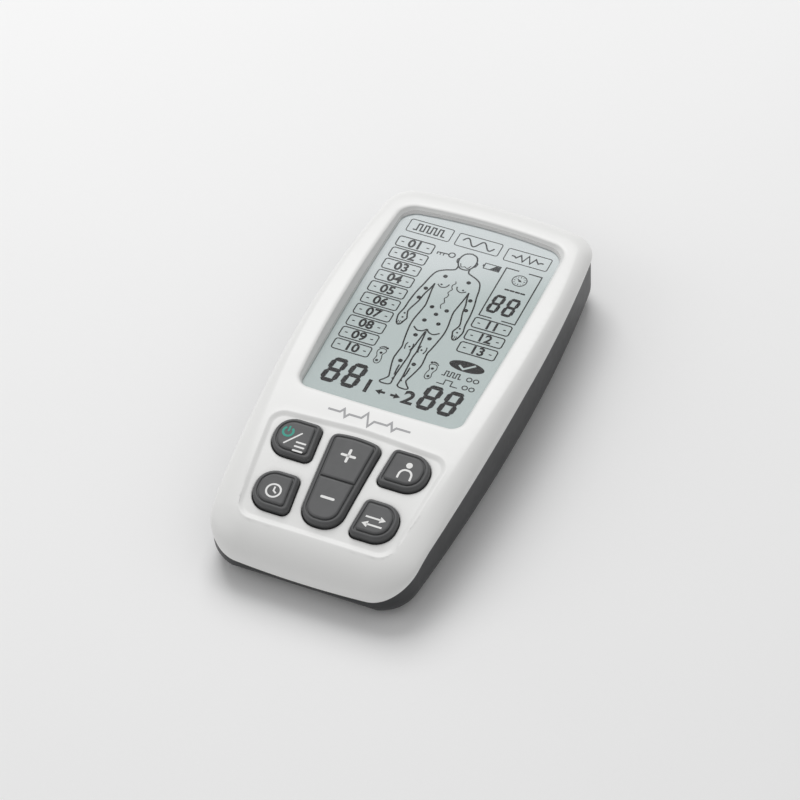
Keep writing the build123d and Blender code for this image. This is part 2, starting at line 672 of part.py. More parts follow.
def socket_contact(side):
    """Tip contact in the blind end of the socket."""
    return socket_rod(side, TIP_CONTACT_RADIUS, SOCKET_DEPTH, SOCKET_BODY_LENGTH)


def case_screws():
    """Four self-tapping screws put in from the back."""
    screws = []
    for x, y, joint_z in CASE_SCREWS:
        head = rod(x, y, CASE_SCREW_HEAD_Z - 1.6, CASE_SCREW_HEAD_Z, 2.0)
        head -= Pos(x, y, CASE_SCREW_HEAD_Z - 1.3) * (Box(2.6, 0.6, 0.8) + Box(0.6, 2.6, 0.8))
        screws.append(head + rod(x, y, CASE_SCREW_HEAD_Z, joint_z + 4.6, 1.1))
    return Compound(children=screws)


def build_all():
    parts = {
        "front_housing": front_housing(),
        "rear_housing": rear_housing(),
        "battery_door": battery_door(),
        "display_window": display_window(),
        "lcd_gasket": lcd_gasket(),
        "lcd_panel": lcd_panel(),
        "lcd_carrier": lcd_carrier(),
        "zebra_strip": zebra_strip(),
        "main_board": main_board(),
        "board_screws": board_screws(),
        "key_board": key_board(),
        "keypad_mat": keypad_mat(),
        "key_level": level_rocker(),
        "board_link": board_link(),
        "microcontroller": microcontroller(),
        "pulse_transformer_left": pulse_transformer(-10.0),
        "pulse_transformer_right": pulse_transformer(10.0),
        "capacitors": capacitors(),
        "buzzer": buzzer(),
        "contact_springs": contact_springs(),
        "contact_plates": contact_plates(),
        "case_screws": case_screws(),
        "output_socket_left": output_socket(-1),
        "output_socket_right": output_socket(1),
        "socket_contact_left": socket_contact(-1),
        "socket_contact_right": socket_contact(1),
    }
    for name in KEYS:
        parts[name] = push_key(name)
    for index in range(3):
        parts[f"battery_{index + 1}"] = cell(index)
    return parts


if __name__ == "__main__":
    os.makedirs("parts", exist_ok=True)
    for node, shape in build_all().items():
        export_step(shape, f"parts/{node}.step")
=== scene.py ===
"""Looks of a hand-held two-channel nerve stimulator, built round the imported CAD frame."""
import math

import bmesh
import bpy
import numpy as np
from mathutils import Matrix, Vector, geometry


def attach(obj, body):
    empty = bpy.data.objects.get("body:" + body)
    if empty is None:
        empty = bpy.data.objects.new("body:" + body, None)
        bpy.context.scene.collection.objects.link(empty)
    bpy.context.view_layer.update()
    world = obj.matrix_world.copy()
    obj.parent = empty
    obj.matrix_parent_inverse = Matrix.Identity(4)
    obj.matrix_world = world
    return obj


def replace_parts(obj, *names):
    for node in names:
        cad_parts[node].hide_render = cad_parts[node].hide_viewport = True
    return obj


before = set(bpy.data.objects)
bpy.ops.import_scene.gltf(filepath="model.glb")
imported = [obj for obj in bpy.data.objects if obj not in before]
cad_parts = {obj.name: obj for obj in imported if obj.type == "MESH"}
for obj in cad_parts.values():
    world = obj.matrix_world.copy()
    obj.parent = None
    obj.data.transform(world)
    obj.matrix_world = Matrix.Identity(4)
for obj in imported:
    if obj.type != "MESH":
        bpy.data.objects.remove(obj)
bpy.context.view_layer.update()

MM = 0.001

# ---- shape of the unit, in millimetres, as in the CAD model ---------
HALF_LENGTH = 66.0
HALF_WIDTH = 32.4
WIDEST_Y = 12.0
THICKNESS = 23.0
FACE_APEX_Y = 4.0
FACE_RADIUS_LOWER = 270.0
FACE_RADIUS_UPPER = 600.0
PANEL_DEPTH = 0.4
WINDOW_LOW_Y = -16.2
WINDOW_HIGH_Y = 57.6
PARTING_HIGH = (5.0, 17.8)         # the joint between the housings, as y and height
PARTING_MID = (-22.5, 16.75)
PARTING_LOW = (-50.0, 14.5)
PARTING_END = (-67.0, 5.5)
PARTING_LOW_SLOPE = 0.156
PARTING_TOP_FALL = 66.0            # towards the display the joint falls by 1 in this many
KEYPAD_Y = -41.0
KEY_GAP = 0.3
ROCKER_CENTRE_Y = -0.3
SHELL = 1.4
CELL_PITCH = 11.2
CELL_Z = 7.3
SPRING_ENDS = (5.4, 9.7)           # from the lower contact plates to the cells, along Y

# ---- camera ---------------------------------------------------------
AZIMUTH, ELEVATION, ROLL = 26.0, 47.3, -3.2
TARGET = Vector((0, -2.6, 10.7)) * MM
DISTANCE = 0.95
LENS = 163.8


def make_camera():
    a, e, r = (math.radians(v) for v in (AZIMUTH, ELEVATION, ROLL))
    back = Vector((math.sin(a) * math.cos(e), -math.cos(a) * math.cos(e), math.sin(e)))
    right = Vector((math.cos(a), math.sin(a), 0))
    up = back.cross(right)
    across = math.cos(r) * right + math.sin(r) * up
    upward = math.cos(r) * up - math.sin(r) * right
    data = bpy.data.cameras.new("camera")
    data.lens = LENS
    data.sensor_width = 36.0
    data.clip_start = 0.05
    camera = bpy.data.objects.new("camera", data)
    bpy.context.scene.collection.objects.link(camera)
    turn = Matrix((across, upward, back)).transposed().to_4x4()
    camera.matrix_world = Matrix.Translation(TARGET + back * DISTANCE) @ turn
    bpy.context.scene.camera = camera


# ---- mesh building --------------------------------------------------
class Builder:
    """Collects points in millimetres and faces, then makes one object of them."""

    def __init__(self):
        self.points = []
        self.faces = []

    def add(self, points, faces):
        base = len(self.points)
        self.points += [tuple(p) for p in points]
        self.faces += [[base + i for i in face] for face in faces]

    def band(self, loops, closed=True):
        """Quads between successive loops of equal length."""
        count = len(loops[0])
        last = count if closed else count - 1
        faces = []
        for k in range(len(loops) - 1):
            for i in range(last):
                j = (i + 1) % count
                faces.append([k * count + i, k * count + j, (k + 1) * count + j, (k + 1) * count + i])
        self.add([p for loop in loops for p in loop], faces)

    def cap(self, loop, flip=False):
        order = list(range(len(loop)))
        self.add(loop, [order[::-1] if flip else order])

    def build(self, name, material, body, slot, sharp=35.0, weld=1e-6):
        mesh = bpy.data.meshes.new(name)
        mesh.from_pydata([(x * MM, y * MM, z * MM) for x, y, z in self.points], [], self.faces)
        work = bmesh.new()
        work.from_mesh(mesh)
        if weld:
            bmesh.ops.remove_doubles(work, verts=work.verts, dist=weld)
        bmesh.ops.recalc_face_normals(work, faces=work.faces)
        for face in work.faces:
            face.smooth = True
        work.to_mesh(mesh)
        work.free()
        mesh.set_sharp_from_angle(angle=math.radians(sharp))
        mesh.materials.append(material)
        piece = bpy.data.objects.new(name, mesh)
        bpy.context.scene.collection.objects.link(piece)
        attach(piece, body)
        return piece


def arc(centre, radius, start, end, step):
    """Points of an arc from one point to another the short way, without the last."""
    a0 = math.atan2(start[1] - centre[1], start[0] - centre[0])
    a1 = math.atan2(end[1] - centre[1], end[0] - centre[0])
    turn = (a1 - a0 + math.pi) % (2 * math.pi) - math.pi
    count = max(2, math.ceil(abs(turn) * radius / step))
    angles = [a0 + turn * i / count for i in range(count)]
    return [(centre[0] + radius * math.cos(a), centre[1] + radius * math.sin(a)) for a in angles]


def corner_centre(c0, r0, c1, r1, high):
    """Where two inset circles cross on the right-hand side, above or below the middle."""
    c0, c1 = Vector(c0), Vector(c1)
    gap = c1 - c0
    along = (r0**2 - r1**2 + gap.length**2) / (2 * gap.length)
    across = math.sqrt(r0**2 - along**2)
    base = c0 + gap.normalized() * along
    side = Vector((-gap.y, gap.x)).normalized() * across
    crossings = [p for p in (base + side, base - side) if p.x > 0]
    return max(crossings, key=lambda p: p.y) if high else min(crossings, key=lambda p: p.y)


def bowed_outline(widest, widest_y, low_radius, high_radius, top, bottom, step):
    """Closed plan loop, anticlockwise. top and bottom are (end y, arc radius, corner radius)."""
    side_low = Vector((widest - low_radius, widest_y))
    side_high = Vector((widest - high_radius, widest_y))
    top_arc = Vector((0, top[0] - top[1]))
    bottom_arc = Vector((0, bottom[0] + bottom[1]))
    high = corner_centre(side_high, high_radius - top[2], top_arc, top[1] - top[2], True)
    low = corner_centre(side_low, low_radius - bottom[2], bottom_arc, bottom[1] - bottom[2], False)
    touch = lambda centre, radius, corner: centre + (corner - centre).normalized() * radius
    p0 = Vector((0, bottom[0]))
    p1 = touch(bottom_arc, bottom[1], low)
    p2 = touch(side_low, low_radius, low)
    p3 = Vector((widest, widest_y))
    p4 = touch(side_high, high_radius, high)
    p5 = touch(top_arc, top[1], high)
    p6 = Vector((0, top[0]))
    half = arc(bottom_arc, bottom[1], p0, p1, step) + arc(low, bottom[2], p1, p2, step * 0.6)
    half += arc(side_low, low_radius, p2, p3, step) + arc(side_high, high_radius, p3, p4, step)
    half += arc(high, top[2], p4, p5, step * 0.6) + arc(top_arc, top[1], p5, p6, step)
    mirrored = [(-x, y) for x, y in reversed(half[1:])]
    return np.array(half + [(p6.x, p6.y)] + mirrored)


def loop_normals(loop):
    """Outward mitre vectors of an anticlockwise loop: moving by them offsets every edge by one."""
    before, after = np.roll(loop, 1, axis=0), np.roll(loop, -1, axis=0)
    d0 = loop - before
    d1 = after - loop
    d0 = d0 / np.linalg.norm(d0, axis=1)[:, None]
    d1 = d1 / np.linalg.norm(d1, axis=1)[:, None]
    n0 = np.stack([d0[:, 1], -d0[:, 0]], -1)
    n1 = np.stack([d1[:, 1], -d1[:, 0]], -1)
    mean = n0 + n1
    mean /= np.linalg.norm(mean, axis=1)[:, None]
    return mean / np.clip((mean * n0).sum(1), 0.5, 1)[:, None]


def grown(loop, distance):
    return loop + loop_normals(loop) * distance


def rounded(corners, radii, inset=0.0, least=0.3, per_corner=9, per_edge=5):
    """Convex polygon with rounded corners, moved inwards by inset; equal counts at any inset."""
    corners = np.array(corners, float)
    count = len(corners)
    area = sum(np.cross(corners[i - 1], corners[i]) for i in range(count))
    if area < 0:
        corners, radii = corners[::-1], list(radii)[::-1]
    moved = grown(corners, -inset)
    arcs = []
    for i in range(count):
        here, before, after = moved[i], moved[i - 1], moved[(i + 1) % count]
        u = (before - here) / np.linalg.norm(before - here)
        v = (after - here) / np.linalg.norm(after - here)
        half = math.acos(float(np.clip(u @ v, -1, 1))) / 2
        radius = max(radii[i] - inset, least)
        bisector = (u + v) / np.linalg.norm(u + v)
        centre = here + bisector * radius / math.sin(half)
        start, end = here + u * radius / math.tan(half), here + v * radius / math.tan(half)
        a0 = math.atan2(*(start - centre)[::-1])
        a1 = math.atan2(*(end - centre)[::-1])
        turn = (a1 - a0 + math.pi) % (2 * math.pi) - math.pi
        angles = [a0 + turn * k / (per_corner - 1) for k in range(per_corner)]
        arcs.append([centre + radius * np.array((math.cos(a), math.sin(a))) for a in angles])
    loop = []
    for i in range(count):
        loop += arcs[i]
        end, start = arcs[i][-1], arcs[(i + 1) % count][0]
        loop += [end + (start - end) * k / per_edge for k in range(1, per_edge)]
    return np.array(loop)


def inside(points, loop):
    """True for each point within a closed loop."""
    x, y = points[:, 0][:, None], points[:, 1][:, None]
    ax, ay = loop[:, 0], loop[:, 1]
    bx, by = np.roll(ax, -1), np.roll(ay, -1)
    spans = (ay > y) != (by > y)
    rise = np.where(by == ay, 1e-12, by - ay)
    crossing = (bx - ax) * (y - ay) / rise + ax
    return (spans & (x < crossing)).sum(1) % 2 == 1


def distance_to(points, loop):
    """Signed distance from points to a closed loop, negative within it."""
    result = np.empty(len(points))
    a, b = loop, np.roll(loop, -1, axis=0)
    ab = b - a
    length = (ab * ab).sum(1)
    for start in range(0, len(points), 1500):
        p = points[start:start + 1500, None, :]
        t = np.clip(((p - a) * ab).sum(-1) / length, 0, 1)
        gap = p - (a + t[..., None] * ab)
        result[start:start + 1500] = np.sqrt((gap * gap).sum(-1).min(1))
    return np.where(inside(points, loop), -result, result)


def fill(boundary, holes, rings, spacing, clear):
    """Triangles between a boundary loop and holes, through extra rings and an even grid."""
    loops = [boundary, *holes, *rings]
    fixed = np.concatenate(loops)
    edges = []
    base = 0
    for loop in loops:
        edges += [(base + i, base + (i + 1) % len(loop)) for i in range(len(loop))]
        base += len(loop)
    low, high = boundary.min(0), boundary.max(0)
    rows = np.arange(low[1], high[1], spacing * 0.87)
    grid = [(x, y) for k, y in enumerate(rows)
            for x in np.arange(low[0] + (k % 2) * spacing / 2, high[0], spacing)]
    grid = np.array(grid)
    grid = grid[inside(grid, boundary)]
    near = np.empty(len(grid))
    for start in range(0, len(grid), 500):
        gap = grid[start:start + 500, None, :] - fixed
        near[start:start + 500] = np.sqrt((gap * gap).sum(-1).min(1))
    points = np.concatenate([fixed, grid[near > clear]])
    flat = [Vector(p) for p in points]
    made = geometry.delaunay_2d_cdt(flat, edges, [], 0, 1e-5, False)
    verts = np.array([tuple(v) for v in made[0]])
    triangles = np.array([list(f) for f in made[2]])
    middles = verts[triangles].mean(1)
    keep = inside(middles, boundary)
    for hole in holes:
        keep &= ~inside(middles, hole)
    return verts, triangles[keep].tolist()


# ---- surfaces -------------------------------------------------------
def face_z(y):
    """Height of the arched face along the centre line."""
    y = np.asarray(y, float)
    radius = np.where(y < FACE_APEX_Y, FACE_RADIUS_LOWER, FACE_RADIUS_UPPER)
    return THICKNESS - radius + np.sqrt(radius**2 - (y - FACE_APEX_Y) ** 2)


class Flat:
    """A plane square to X. Points on it are given as x, distance up the plane and height."""

    def __init__(self, y, z, slope):
        self.origin = np.array((0, y, z))
        self.up = np.array((0, math.cos(slope), math.sin(slope)))
        self.out = np.array((0, -math.sin(slope), math.cos(slope)))

    def at(self, x, y, height):
        return self.origin + np.array((x, 0, 0)) + self.up * y + self.out * height

    def loop(self, loop, height):
        return [self.at(x, y, height) for x, y in loop]


def display_plane():
    sunk = 1.6
    low, high = face_z(WINDOW_LOW_Y) - sunk, face_z(WINDOW_HIGH_Y) - sunk
    slope = math.atan2(high - low, WINDOW_HIGH_Y - WINDOW_LOW_Y)
    return Flat((WINDOW_LOW_Y + WINDOW_HIGH_Y) / 2, (low + high) / 2, slope)


def tangent_plane(y):
    return Flat(y, float(face_z(y)), math.asin((FACE_APEX_Y - y) / FACE_RADIUS_LOWER))


DISPLAY = display_plane()
KEYPAD = tangent_plane(KEYPAD_Y)
OUTLINE = bowed_outline(HALF_WIDTH, WIDEST_Y, 600.0, 430.0, (HALF_LENGTH, 181.4, 9.0),
                        (-HALF_LENGTH, 401.0, 11.0), 0.8)
WINDOW = bowed_outline(24.4, 28.0, 650.0, 560.0, (57.6, 158.0, 5.0), (-16.5, 880.0, 3.6), 0.8)
PANEL = rounded([(21.5, -57.6), (24.8, -26.0), (0, -24.5), (-24.8, -26.0), (-21.5, -57.6)],
                [5, 4, 60, 4, 5], per_corner=16, per_edge=26)


def key_corners(side, inner, outer, low, high):
    slant = 0.45
    return [(side * (inner + slant), high), (side * (inner - slant), low),
            (side * (outer - slant), low), (side * outer, high)]


KEY_PLANS = {
    "power": (key_corners(-1, 9.6, 21.6, 2.6, 13.7), [1.7, 1.7, 5, 5]),
    "body": (key_corners(1, 9.6, 21.6, 2.6, 13.7), [1.7, 1.7, 5, 5]),
    "timer": (key_corners(-1, 8.8, 19.8, -13.5, -2.3), [1.7, 1.7, 5, 5]),
    "channel": (key_corners(1, 8.8, 19.8, -13.5, -2.3), [1.7, 1.7, 5, 5]),
    "level": ([(5.35, -13.7), (6.9, 12.8), (3.5, 13.4), (0, 13.6),
               (-3.5, 13.4), (-6.9, 12.8), (-5.35, -13.7)],
              [4.9, 2.0, 20, 20, 20, 2.0, 4.9]),
}


def key_loop(name, inset=0.0, least=0.35):
    return rounded(*KEY_PLANS[name], inset=inset, least=least)


def on_plan(loop):
    """A loop in the keypad plane, seen straight down."""
    return np.array([KEYPAD.at(x, y, 0)[:2] for x, y in loop])


def parting_z(y):
    """Height of the joint between the two housings."""
    y = np.asarray(y, float)
    top = PARTING_HIGH[1] - (y - PARTING_HIGH[0]) / PARTING_TOP_FALL
    bend = circle_height(y, PARTING_HIGH, PARTING_MID, PARTING_LOW)
    start, end = np.array(PARTING_LOW), np.array(PARTING_END)
    tangent = np.array((-1.0, -PARTING_LOW_SLOPE))
    normal = np.array((tangent[1], -tangent[0])) / np.hypot(*tangent)
    chord = end - start
    radius = (chord @ chord) / (2 * (chord @ normal))
    centre = start + normal * radius
    rise = np.sqrt(np.maximum(radius**2 - (y - centre[0]) ** 2, 0))
    tail = centre[1] + (rise if centre[1] < start[1] else -rise)
    return np.where(y > PARTING_HIGH[0], top, np.where(y > PARTING_LOW[0], bend, tail))


def circle_height(y, p0, p1, p2):
    """Upper side of the circle through three points."""
    (ax, ay), (bx, by), (cx, cy) = p0, p1, p2
    d = 2 * (ax * (by - cy) + bx * (cy - ay) + cx * (ay - by))
    a2, b2, c2 = ax**2 + ay**2, bx**2 + by**2, cx**2 + cy**2
    ux = (a2 * (by - cy) + b2 * (cy - ay) + c2 * (ay - by)) / d
    uy = (a2 * (cx - bx) + b2 * (ax - cx) + c2 * (bx - ax)) / d
    radius = math.hypot(ax - ux, ay - uy)
    return uy + np.sqrt(np.maximum(radius**2 - (y - ux) ** 2, 0))


def ease(t):
    t = np.clip(t, 0, 1)
    return t * t * (3 - 2 * t)


def rounding(gap, width, depth):
    """Drop of a rounded lip, from nothing at width away to depth at the edge."""
    t = np.clip(1 - gap / width, 0, 1)
    return depth * (1 - np.sqrt(1 - t * t))


def relief(points):
    """Height of the detailed face over plan points: arch, sunk panel and rounded lips."""
    z = face_z(points[:, 1])
    edge = distance_to(points, PANEL)
    z -= PANEL_DEPTH * ease((0.3 - edge) / 1.6)
    z += 0.05 * np.exp(-(((edge - 0.4) / 0.35) ** 2))
    z -= rounding(np.maximum(distance_to(points, WINDOW), 0), 1.5, 0.55)
    for name in KEY_PLANS:
        hole = on_plan(key_loop(name, -KEY_GAP))
        z -= rounding(np.maximum(distance_to(points, hole), 0), 0.45, 0.3)
    return z


# ---- front housing --------------------------------------------------
SHOULDER = np.array([  # y, width and height of the rounded shoulder along the sides
    (-60.0, 7.4, 6.9), (-52.0, 7.0, 5.6), (-46.0, 6.0, 4.6), (-33.0, 5.2, 4.5), (-17.0, 4.4, 4.8),
    (-2.0, 3.7, 5.1), (13.0, 3.2, 5.5), (32.0, 2.8, 6.0), (45.0, 3.0, 6.0), (60.0, 4.0, 5.4),
])


def shoulder_size(loop):
    """Width and height of the shoulder at each point of the outline."""
    normals = loop_normals(loop)
    y = loop[:, 1]
    width = np.interp(y, SHOULDER[:, 0], SHOULDER[:, 1])
    height = np.interp(y, SHOULDER[:, 0], SHOULDER[:, 2])
    top = ease((normals[:, 1] - 0.15) / 0.7)
    bottom = ease((-normals[:, 1] - 0.15) / 0.7)
    width = width + top * (5.2 - width) + bottom * (7.4 - width)
    height = height + top * (5.2 - height) + bottom * (6.9 - height)
    for _ in range(30):
        width = (np.roll(width, 1) + width * 2 + np.roll(width, -1)) / 4
        height = (np.roll(height, 1) + height * 2 + np.roll(height, -1)) / 4
    return width, np.minimum(height, face_z(y) - parting_z(y) - 0.35)


def shoulder_rings(loop):
    """Rings from the crease out and down to the lower edge of the front housing."""
    width, height = shoulder_size(loop)
    normals = loop_normals(loop)
    crease = 0.13
    rings = []
    for k in range(19):
        t = math.sin(math.radians(90 * k / 18))
        drop = crease * t + (1 - crease) * (1 - math.sqrt(max(0, 1 - t * t)))
        spots = loop - normals * (width * (1 - t))[:, None]
        rings.append(np.column_stack([spots, face_z(spots[:, 1]) - height * drop]))
    joint = parting_z(loop[:, 1])
    rim = rings[-1][:, 2]
    for share in (0.33, 0.66):
        rings.append(np.column_stack([loop, rim + (joint + 0.3 - rim) * share]))
    for inset, lift in ((0, 0.3), (0.04, 0.12), (0.16, 0.02), (0.3, 0.0), (1.8, 0.0)):
        spots = loop - normals * inset
        rings.append(np.column_stack([spots, parting_z(spots[:, 1]) + lift]))
    return rings


def display_z(loop):
    """Height of the display plane under plan points."""
    slope = DISPLAY.up[2] / DISPLAY.up[1]
    return DISPLAY.origin[2] + (loop[:, 1] - DISPLAY.origin[1]) * slope + 0.02


def window_foot(height):
    """The window's wall, which leans inwards with depth, cut at a height above the display."""
    depth = face_z(WINDOW[:, 1]) - display_z(WINDOW) - height
    normals = loop_normals(WINDOW)
    lean = 0.4 * np.abs(normals[:, 0]) + 0.75 * np.maximum(normals[:, 1], 0)
    return WINDOW - normals * (lean * depth)[:, None]


def clear_window(material):
    pane = Builder()
    levels = ((0.04, 0.08), (0.72, 0.08), (0.9, 0.26))
    rings = [grown(window_foot(h), -gap) for h, gap in levels]
    loops = [np.column_stack([ring, display_z(ring) + h]) for ring, (h, _) in zip(rings, levels)]
    pane.cap(loops[0], flip=True)
    pane.band(loops)
    pane.cap(loops[-1])
    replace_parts(pane.build("clear_window", material, "root", "window", sharp=20), "display_window")


def front_housing(material):
    shell = Builder()
    rings = shoulder_rings(OUTLINE)
    width, _ = shoulder_size(OUTLINE)
    boundary = rings[0][:, :2]
    key_holes = [on_plan(key_loop(name, -KEY_GAP)) for name in KEY_PLANS]
    extra = [grown(PANEL, d) for d in (0.8, 0.6, 0.4, 0.2, 0.0, -0.2, -0.4, -0.65, -0.9, -1.15, -1.4)]
    extra += [grown(WINDOW, d) for d in (0.06, 0.2, 0.42, 0.7, 1.05, 1.5)]
    extra += [grown(hole, d) for hole in key_holes for d in (0.05, 0.15, 0.28, 0.45)]
    spots, triangles = fill(boundary, [WINDOW, *key_holes], extra, 1.5, 0.55)
    top = relief(spots)
    edge = inside(spots, grown(boundary, -1e-4))
    top = np.where(edge, top, face_z(spots[:, 1]))
    shell.add(np.column_stack([spots, top]), triangles)
    # underside: an inner surface one wall thickness down, joined through the holes
    pad = grown(WINDOW, 1.3)
    inner = OUTLINE - loop_normals(OUTLINE) * (width + 0.6)[:, None]
    under, under_triangles = fill(inner, [pad, *key_holes], [], 3.0, 1.2)
    depth = face_z(under[:, 1]) - SHELL - PANEL_DEPTH * inside(under, PANEL)
    shell.add(np.column_stack([under, depth]), under_triangles)
    inner_z = face_z(inner[:, 1]) - SHELL
    shell.band([*rings, np.column_stack([inner, inner_z])])
    for hole in key_holes:
        high = relief(hole)
        low = face_z(hole[:, 1]) - SHELL - PANEL_DEPTH
        shell.band([np.column_stack([hole, high]), np.column_stack([hole, low])])
    foot = window_foot(0.0)
    shell.band([
        np.column_stack([WINDOW, relief(WINDOW)]), np.column_stack([foot, display_z(foot)]),
        np.column_stack([pad, display_z(pad)]), np.column_stack([pad, face_z(pad[:, 1]) - SHELL]),
    ])
    piece = shell.build("front_shell", material, "root", "white_shell", sharp=48)
    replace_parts(piece, "front_housing")


# ---- keys -----------------------------------------------------------
SKIRT = [(-0.9, -3.35), (-0.9, -2.65), (0.0, -2.65), (0.0, 0.1), (0.04, 0.36), (0.15, 0.62), (0.32, 0.83),
         (0.54, 0.97), (0.78, 1.02), (0.96, 0.99), (1.07, 0.9), (1.13, 0.78), (1.17, 0.72)]
PLATEAU = [(0.0, 0.72), (0.0, 0.9), (0.06, 1.06), (0.18, 1.18), (0.36, 1.26), (0.6, 1.3)]


def key_piece(name, material, body, node):
    """A rubber key: rounded skirt, groove, and a raised top, which the level key has two of."""
    key = Builder()
    rings = [KEYPAD.loop(key_loop(name, inset), height) for inset, height in SKIRT]
    key.cap(rings[0], flip=True)
    key.band(rings)
    key.cap(rings[-1])
    top = key_loop(name, 1.4, least=0.9)
    tops = [top]
    if name == "level":
        tops = [clipped(top, ROCKER_CENTRE_Y + 0.17, 1), clipped(top, ROCKER_CENTRE_Y - 0.17, -1)]
    for loop in tops:
        rise = [KEYPAD.loop(grown(loop, -inset), height) for inset, height in PLATEAU]
        key.cap(rise[0], flip=True)
        key.band(rise)
        key.cap(rise[-1])
    piece = key.build(name + "_key", material, body, "key_rubber", sharp=40, weld=0)
    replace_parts(piece, node)


def clipped(loop, y, side):
    """The part of a convex loop above (side 1) or below (side -1) a line, corners eased."""
    kept = []
    for p, q in zip(loop, np.roll(loop, -1, axis=0)):
        if (p[1] - y) * side >= 0:
            kept.append(p)
        if (p[1] - y) * (q[1] - y) < 0:
            cut = p + (q - p) * (y - p[1]) / (q[1] - p[1])
            kept.append(cut)
    return np.array(kept)


# ---- flat printed shapes --------------------------------------------
class Print:
    """Thin raised print on a plane."""

    def __init__(self, plane, low, high):
        self.plane, self.low, self.high = plane, low, high
        self.builder = Builder()

    def solid(self, loop):
        low, high = self.plane.loop(loop, self.low), self.plane.loop(loop, self.high)
        self.builder.cap(low, flip=True)
        self.builder.cap(high)
        self.builder.band([low, high])

    def line(self, points, width, closed=False):
        """A line of even width with mitred bends."""
        points = np.array(points, float)
        if closed:
            normals = loop_normals(points) * width / 2
        else:
            d = np.diff(points, axis=0)
            d /= np.linalg.norm(d, axis=1)[:, None]
            n = np.stack([d[:, 1], -d[:, 0]], -1)
            mean = np.concatenate([n[:1], n[:-1] + n[1:], n[-1:]])
            mean /= np.linalg.norm(mean, axis=1)[:, None]
            reach = np.concatenate([n[:1], n])
            normals = mean / np.clip((mean * reach).sum(1), 0.5, 1)[:, None] * width / 2
        right, left = points + normals, points - normals
        corners = ((right, self.low), (right, self.high), (left, self.high), (left, self.low))
        loops = [self.plane.loop(loop, height) for loop, height in (*corners, corners[0])]
        self.builder.band(loops, closed)
        if not closed:
            for k in (0, -1):
                self.builder.cap([loop[k] for loop in loops[:4]])

    def curve(self, points, width, closed=False):
        self.line(smooth(points, closed), width, closed)

    def disc(self, x, y, radius, count=20):
        self.solid(circle(x, y, radius, count))

    def ring(self, x, y, radius, width, count=28):
        self.line(circle(x, y, radius, count), width, closed=True)

    def box(self, x0, y0, x1, y1, radius, width):
        self.line(rounded([(x0, y0), (x1, y0), (x1, y1), (x0, y1)], [radius] * 4), width, closed=True)

    def bar(self, p, q, width):
        """A straight bar with round ends."""
        p, q = np.array(p, float), np.array(q, float)
        angle = math.atan2(*(q - p)[::-1])
        ends = []
        for centre, start in ((q, -90), (p, 90)):
            for k in range(9):
                a = angle + math.radians(start + 22.5 * k)
                ends.append(centre + width / 2 * np.array((math.cos(a), math.sin(a))))
        self.solid(ends)

    def digit(self, x, y, width, height, weight, lit="abcdefg"):
        """A leaning seven-segment figure whose lower left corner is at x, y."""
        lean = 0.1
        gap = weight * 0.12
        half, mid = weight / 2, height / 2
        w, h = width, height
        near, far, thick = gap + half * 0.4, gap + half * 1.3, half * 0.9
        across = lambda y0: [(near, y0), (far, y0 + thick), (w - far, y0 + thick),
                             (w - near, y0), (w - far, y0 - thick), (far, y0 - thick)]
        upright = lambda x0, y0, y1: [(x0, y0 + gap), (x0 + thick, y0 + gap + half),
                                      (x0 + thick, y1 - gap - half), (x0, y1 - gap),
                                      (x0 - thick, y1 - gap - half), (x0 - thick, y0 + gap + half)]
        parts = {"a": across(h - half), "g": across(mid), "d": across(half),
                 "f": upright(half, mid, h - half), "e": upright(half, half, mid),
                 "b": upright(w - half, mid, h - half), "c": upright(w - half, half, mid)}
        for name in lit:
            self.solid([(x + px + lean * py, y + py) for px, py in parts[name]][::-1])

    def figures(self, text, x, y, size):
        """Numerals or signs in the plain built-in face, centred on a point."""
        curve = bpy.data.curves.new("figures", "FONT")
        curve.body = text
        curve.size = size
        curve.align_x, curve.align_y = "CENTER", "CENTER"
        curve.extrude = (self.high - self.low) / 2
        curve.offset = size * 0.03
        curve.resolution_u = 4
        holder = bpy.data.objects.new("figures", curve)
        bpy.context.scene.collection.objects.link(holder)
        bpy.context.view_layer.update()
        shape = holder.evaluated_get(bpy.context.evaluated_depsgraph_get()).to_mesh()
        middle = (self.low + self.high) / 2
        points = [self.plane.at(x + v.co.x, y + v.co.y, middle + v.co.z) for v in shape.vertices]
        self.builder.add(points, [list(f.vertices) for f in shape.polygons])
        bpy.data.objects.remove(holder)
        bpy.data.curves.remove(curve)

    def build(self, name, material, body, slot):
        return self.builder.build(name, material, body, slot, sharp=30, weld=0)


def circle(x, y, radius, count=28, start=0.0, turn=360.0):
    whole = turn >= 360
    steps = count if whole else count + 1
    angles = [math.radians(start + turn * k / count) for k in range(steps)]
    return np.array([(x + radius * math.cos(a), y + radius * math.sin(a)) for a in angles])


def smooth(points, closed=False, steps=6):
    """A rounded curve through the points."""
    points = [np.array(p, float) for p in points]
    count = len(points)
    curve = []
    spans = count if closed else count - 1
    for i in range(spans):
        if closed:
            p0, p1, p2, p3 = (points[(i + k) % count] for k in (-1, 0, 1, 2))
        else:
            p0, p1, p2, p3 = (points[min(max(i + k, 0), count - 1)] for k in (-1, 0, 1, 2))
        for k in range(steps):
            t = k / steps
            curve.append(0.5 * (2 * p1 + (p2 - p0) * t + (2 * p0 - 5 * p1 + 4 * p2 - p3) * t**2
                                + (3 * p1 - p0 - 3 * p2 + p3) * t**3))
    if not closed:
        curve.append(points[-1])
    return np.array(curve)


